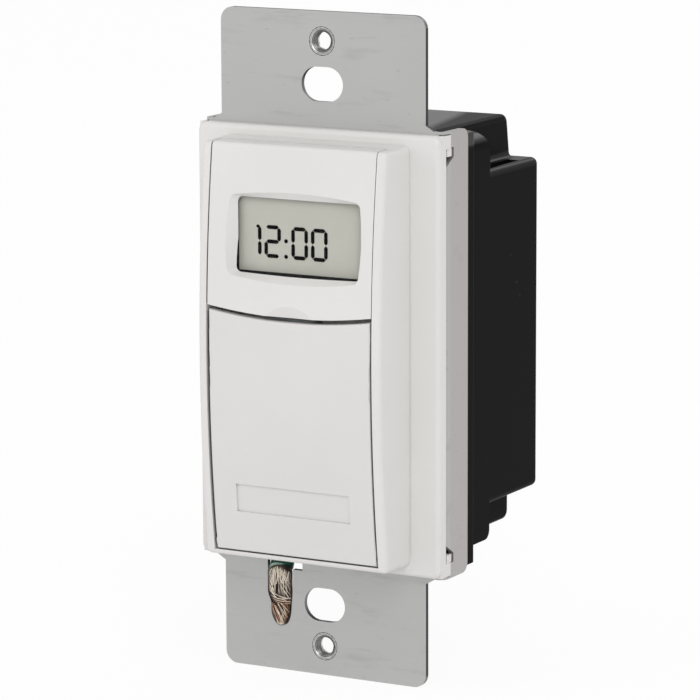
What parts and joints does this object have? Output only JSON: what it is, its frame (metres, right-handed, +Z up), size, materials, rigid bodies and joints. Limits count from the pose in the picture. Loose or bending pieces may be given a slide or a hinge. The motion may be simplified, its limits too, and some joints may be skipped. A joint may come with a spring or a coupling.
{
  "type": "timer light switch",
  "caption": "In-wall timer light switch: steel mounting strap, white crowned front with a display window and a hinged access door over the keys, stepped black rear housing and green earth wire.",
  "frame": {"origin": "centre of the two device screw slots, on the front face of the steel strap", "axes": "-Y is the front, +Z is up, +X is to the right as seen from the front"},
  "size_m": [0.0432, 0.0458, 0.1062],
  "materials": {
    "strap_steel": "brushed",
    "white_cover": "satin",
    "white_door": "satin",
    "black_housing": "fine matte",
    "clear_lens": "clear",
    "display": "reflective grey-green",
    "grey_button": "matte",
    "silicone": "matte",
    "steel": "bright",
    "cell_steel": "polished",
    "brass": "bright",
    "clear_frame": "matte",
    "strip_rubber": "matte",
    "board_green": "glossy lacquer",
    "chip_black": "matte",
    "sheet_film": "matte",
    "relay_blue": "glossy",
    "relay_black": "matte",
    "iron": "plated",
    "copper_coil": "enamelled",
    "film_box": "glossy",
    "can_sleeve": "glossy",
    "disc_coat": "glossy",
    "fuse_body": "glossy",
    "resistor_coat": "matte",
    "ferrite": "matte",
    "green_sleeve": "satin",
    "bare_copper": "tinned above, copper below",
    "bush_black": "matte"
  },
  "bodies": {
    "timer_body": {"mounting_strap": "strap_steel", "front_cover": "white_cover", "faceplate": "white_cover", "door_hinge_pin": "steel", "keypad_mat": "silicone", "battery_cell": "cell_steel", "battery_contact_positive": "brass", "battery_contact_negative": "brass", "lcd_lens": "clear_lens", "lcd_glass": "display", "lcd_holder": "clear_frame", "contact_strip": "strip_rubber", "display_board": "board_green", "board_screws": "steel", "microcontroller": "chip_black", "crystal": "cell_steel", "board_header": "chip_black", "insulating_sheet": "sheet_film", "rear_housing": "black_housing", "rear_plate": "black_housing", "lead_bushes": "bush_black", "housing_screws": "steel", "main_board": "board_green", "relay_base": "relay_black", "relay_yoke": "iron", "relay_bobbin": "relay_black", "relay_coil": "copper_coil", "relay_fixed_contact": "brass", "relay_cover": "relay_blue", "film_capacitor": "film_box", "electrolytic_capacitor": "can_sleeve", "varistor": "disc_coat", "fuse": "fuse_body", "bridge_rectifier": "chip_black", "choke": "ferrite", "power_resistor": "resistor_coat", "lead_terminals": "brass", "ground_insulation": "green_sleeve", "ground_strands": "bare_copper", "ground_bush": "bush_black", "ground_terminal": "brass"},
    "door": {"access_door": "white_door"},
    "on_off_button": {"on_off_button": "grey_button"},
    "mode_button": {"mode_button": "grey_button"},
    "minus_button": {"minus_button": "grey_button"},
    "plus_button": {"plus_button": "grey_button"},
    "reset_button": {"reset_button": "grey_button"},
    "battery_cap": {"battery_cap": "grey_button"},
    "relay_armature": {"relay_armature": "iron", "relay_contact_spring": "brass"}
  },
  "joints": [
    {"name": "door_hinge", "type": "hinge", "parent": "timer_body", "child": "door", "pos_m": [0, -0.00809, -0.03065], "axis": [1, 0, 0], "range_deg": [0, 92]},
    {"name": "on_off_button_press", "type": "slide", "parent": "timer_body", "child": "on_off_button", "axis": [0, 1, 0], "range_m": [0, 0.0005], "stiffness_N_per_m": 300},
    {"name": "mode_button_press", "type": "slide", "parent": "timer_body", "child": "mode_button", "axis": [0, 1, 0], "range_m": [0, 0.0005], "stiffness_N_per_m": 300},
    {"name": "minus_button_press", "type": "slide", "parent": "timer_body", "child": "minus_button", "axis": [0, 1, 0], "range_m": [0, 0.0005], "stiffness_N_per_m": 300},
    {"name": "plus_button_press", "type": "slide", "parent": "timer_body", "child": "plus_button", "axis": [0, 1, 0], "range_m": [0, 0.0005], "stiffness_N_per_m": 300},
    {"name": "reset_button_press", "type": "slide", "parent": "timer_body", "child": "reset_button", "axis": [0, 1, 0], "range_m": [0, 0.0005], "stiffness_N_per_m": 300},
    {"name": "battery_cap_turn", "type": "hinge", "parent": "timer_body", "child": "battery_cap", "pos_m": [0, -0.0055, -0.018], "axis": [0, 1, 0], "range_deg": [0, 45]},
    {"name": "relay_armature_tip", "type": "hinge", "parent": "timer_body", "child": "relay_armature", "pos_m": [0.0061, 0.02455, 0.011], "axis": [0, 0, 1], "range_deg": [0, 2.2], "stiffness_Nm_per_rad": 0.01}
  ]
}
